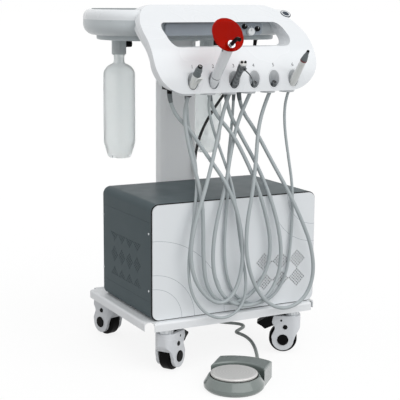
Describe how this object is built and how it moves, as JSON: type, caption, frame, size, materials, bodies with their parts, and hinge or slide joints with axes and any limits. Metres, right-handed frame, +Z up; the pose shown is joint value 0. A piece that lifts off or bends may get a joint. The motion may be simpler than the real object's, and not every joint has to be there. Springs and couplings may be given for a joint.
{
  "type": "portable dental unit",
  "caption": "Mobile dental unit: wheeled cabinet with compressor, column, instrument tray with handle frame, hung handpieces on looped hoses, water bottles and a foot control.",
  "frame": {"origin": "on the floor, under the middle of the unit's outline from above, hoses left out", "axes": "+Z up; -Y towards the dentist (the holders and the cabinet's white front face -Y); +X to the dentist's right"},
  "size_m": [0.568, 0.7055, 0.924],
  "materials": {
    "deck_steel": "satin",
    "cabinet_steel": "satin",
    "black_rubber": "matt",
    "white_plastic": "gloss",
    "compressor_iron": "matt",
    "tank_paint": "satin",
    "column_paint": "satin",
    "black_plastic": "matt",
    "grey_plastic": "satin",
    "tray_mat_rubber": "matt",
    "bottle_plastic": "translucent",
    "caster_plastic": "gloss",
    "tyre_rubber": "matt",
    "steel_disc": "brushed",
    "steel_polished": "polished",
    "red_acrylic": "gloss",
    "hose_tubing": "satin",
    "black_tubing": "satin"
  },
  "bodies": {
    "root": {"platform": "deck_steel", "cabinet_base": "cabinet_steel", "cabinet_cover": "cabinet_steel", "side_panels": "cabinet_steel", "front_gasket": "black_rubber", "front_panel": "white_plastic", "back_panel": "cabinet_steel", "compressor": "compressor_iron", "air_tank": "tank_paint", "column": "column_paint", "column_bracket": "black_plastic", "tray_bottom_plate": "grey_plastic", "tray_lower_shell": "grey_plastic", "tray_upper_shell": "white_plastic", "tray_mat": "tray_mat_rubber", "control_panel": "grey_plastic", "handle_front_shell": "white_plastic", "handle_rear_shell": "grey_plastic", "holder_sleeves": "grey_plastic", "bottle_caps": "grey_plastic", "caster_collars": "grey_plastic", "pedal_base": "grey_plastic", "hose_fittings": "black_plastic", "hose_1": "hose_tubing", "hose_2": "hose_tubing", "hose_3": "hose_tubing", "hose_4": "hose_tubing", "hose_5": "hose_tubing", "hose_6": "hose_tubing", "umbilical_hose": "black_tubing", "pedal_hose": "black_tubing"},
    "caster_front_left": {"caster_hood_front_left": "caster_plastic"},
    "wheel_front_left": {"wheel_front_left": "tyre_rubber"},
    "brake_front_left": {"brake_pedal_front_left": "black_plastic"},
    "caster_front_right": {"caster_hood_front_right": "caster_plastic"},
    "wheel_front_right": {"wheel_front_right": "tyre_rubber"},
    "brake_front_right": {"brake_pedal_front_right": "black_plastic"},
    "caster_rear_left": {"caster_hood_rear_left": "caster_plastic"},
    "wheel_rear_left": {"wheel_rear_left": "tyre_rubber"},
    "caster_rear_right": {"caster_hood_rear_right": "caster_plastic"},
    "wheel_rear_right": {"wheel_rear_right": "tyre_rubber"},
    "knob_water": {"knob_water": "white_plastic"},
    "knob_air": {"knob_air": "black_plastic"},
    "knob_cooling": {"knob_cooling": "black_plastic"},
    "bottle_left": {"bottle_left": "bottle_plastic"},
    "bottle_right": {"bottle_right": "bottle_plastic"},
    "suction": {"suction_handle": "white_plastic"},
    "curing_light": {"light_body": "white_plastic", "light_tip": "black_plastic"},
    "syringe": {"syringe": "steel_polished"},
    "highspeed": {"highspeed_coupling": "black_plastic"},
    "lowspeed": {"lowspeed_coupling": "black_plastic"},
    "scaler": {"scaler_handle": "white_plastic", "scaler_tip": "black_plastic"},
    "suction_lever": {"suction_lever": "white_plastic"},
    "light_shield": {"light_shield": "red_acrylic"},
    "light_button": {"light_button": "white_plastic"},
    "syringe_button_air": {"syringe_button_air": "steel_polished"},
    "syringe_button_water": {"syringe_button_water": "steel_polished"},
    "pedal_disc": {"pedal_disc": "steel_disc"}
  },
  "joints": [
    {"name": "swivel_front_left", "type": "hinge", "parent": "root", "child": "caster_front_left", "pos_m": [-0.1965, -0.088, 0.103], "axis": [0, 0, 1], "continuous": true},
    {"name": "roll_front_left", "type": "hinge", "parent": "caster_front_left", "child": "wheel_front_left", "pos_m": [-0.17841, -0.07548, 0.0375], "axis": [-0.5693, 0.8221, 0], "continuous": true},
    {"name": "brake_front_left", "type": "hinge", "parent": "caster_front_left", "child": "brake_front_left", "pos_m": [-0.1743, -0.07263, 0.091], "axis": [-0.5693, 0.8221, 0], "range_deg": [0, 12]},
    {"name": "swivel_front_right", "type": "hinge", "parent": "root", "child": "caster_front_right", "pos_m": [0.1795, -0.088, 0.103], "axis": [0, 0, 1], "continuous": true},
    {"name": "roll_front_right", "type": "hinge", "parent": "caster_front_right", "child": "wheel_front_right", "pos_m": [0.16095, -0.07618, 0.0375], "axis": [-0.5373, -0.8434, 0], "continuous": true},
    {"name": "brake_front_right", "type": "hinge", "parent": "caster_front_right", "child": "brake_front_right", "pos_m": [0.15673, -0.07349, 0.091], "axis": [-0.5373, -0.8434, 0], "range_deg": [0, 12]},
    {"name": "swivel_rear_left", "type": "hinge", "parent": "root", "child": "caster_rear_left", "pos_m": [-0.1965, 0.26, 0.103], "axis": [0, 0, 1], "continuous": true},
    {"name": "roll_rear_left", "type": "hinge", "parent": "caster_rear_left", "child": "wheel_rear_left", "pos_m": [-0.20238, 0.2812, 0.0375], "axis": [-0.9636, -0.2672, 0], "continuous": true},
    {"name": "swivel_rear_right", "type": "hinge", "parent": "root", "child": "caster_rear_right", "pos_m": [0.1795, 0.26, 0.103], "axis": [0, 0, 1], "continuous": true},
    {"name": "roll_rear_right", "type": "hinge", "parent": "caster_rear_right", "child": "wheel_rear_right", "pos_m": [0.18407, 0.28152, 0.0375], "axis": [-0.9781, 0.2079, 0], "continuous": true},
    {"name": "turn_knob_water", "type": "hinge", "parent": "root", "child": "knob_water", "pos_m": [0.106, 0.0297, 0.855], "axis": [0, -1, 0], "range_deg": [0, 300]},
    {"name": "turn_knob_air", "type": "hinge", "parent": "root", "child": "knob_air", "pos_m": [0.127, 0.0297, 0.862], "axis": [0, -1, 0], "range_deg": [0, 300]},
    {"name": "turn_knob_cooling", "type": "hinge", "parent": "root", "child": "knob_cooling", "pos_m": [0.088, 0.0297, 0.868], "axis": [0, -1, 0], "range_deg": [0, 300]},
    {"name": "unscrew_bottle_left", "type": "hinge", "parent": "root", "child": "bottle_left", "pos_m": [-0.151, 0.3075, 0.7], "axis": [0, 0, -1], "range_deg": [0, 360]},
    {"name": "unscrew_bottle_right", "type": "hinge", "parent": "root", "child": "bottle_right", "pos_m": [0.123, 0.3075, 0.7], "axis": [0, 0, -1], "range_deg": [0, 360]},
    {"name": "lift_suction", "type": "slide", "parent": "root", "child": "suction", "axis": [0, -0.6428, 0.766], "range_m": [0, 0.12]},
    {"name": "lift_curing_light", "type": "slide", "parent": "root", "child": "curing_light", "axis": [0, -0.6428, 0.766], "range_m": [0, 0.12]},
    {"name": "lift_syringe", "type": "slide", "parent": "root", "child": "syringe", "axis": [0, -0.6428, 0.766], "range_m": [0, 0.12]},
    {"name": "lift_highspeed", "type": "slide", "parent": "root", "child": "highspeed", "axis": [0, -0.6428, 0.766], "range_m": [0, 0.12]},
    {"name": "lift_lowspeed", "type": "slide", "parent": "root", "child": "lowspeed", "axis": [0, -0.6428, 0.766], "range_m": [0, 0.12]},
    {"name": "lift_scaler", "type": "slide", "parent": "root", "child": "scaler", "axis": [0, -0.6428, 0.766], "range_m": [0, 0.12]},
    {"name": "turn_suction_lever", "type": "hinge", "parent": "suction", "child": "suction_lever", "pos_m": [-0.133, -0.12742, 0.73745], "axis": [1, 0, 0], "range_deg": [0, 60]},
    {"name": "turn_light_shield", "type": "hinge", "parent": "curing_light", "child": "light_shield", "pos_m": [-0.075, -0.18842, 0.82944], "axis": [0, -0.8829, 0.4695], "continuous": true},
    {"name": "press_light_button", "type": "slide", "parent": "curing_light", "child": "light_button", "axis": [1, 0, 0], "range_m": [0, 0.001], "stiffness_N_per_m": 400, "springref_m": -0.001},
    {"name": "press_syringe_air", "type": "slide", "parent": "syringe", "child": "syringe_button_air", "axis": [0, 0.6428, -0.766], "range_m": [0, 0.0025], "stiffness_N_per_m": 300, "springref_m": -0.002},
    {"name": "press_syringe_water", "type": "slide", "parent": "syringe", "child": "syringe_button_water", "axis": [0, 0.6428, -0.766], "range_m": [0, 0.0025], "stiffness_N_per_m": 300, "springref_m": -0.002},
    {"name": "press_pedal", "type": "slide", "parent": "root", "child": "pedal_disc", "axis": [0, 0, -1], "range_m": [0, 0.006], "stiffness_N_per_m": 3000, "springref_m": -0.006}
  ]
}
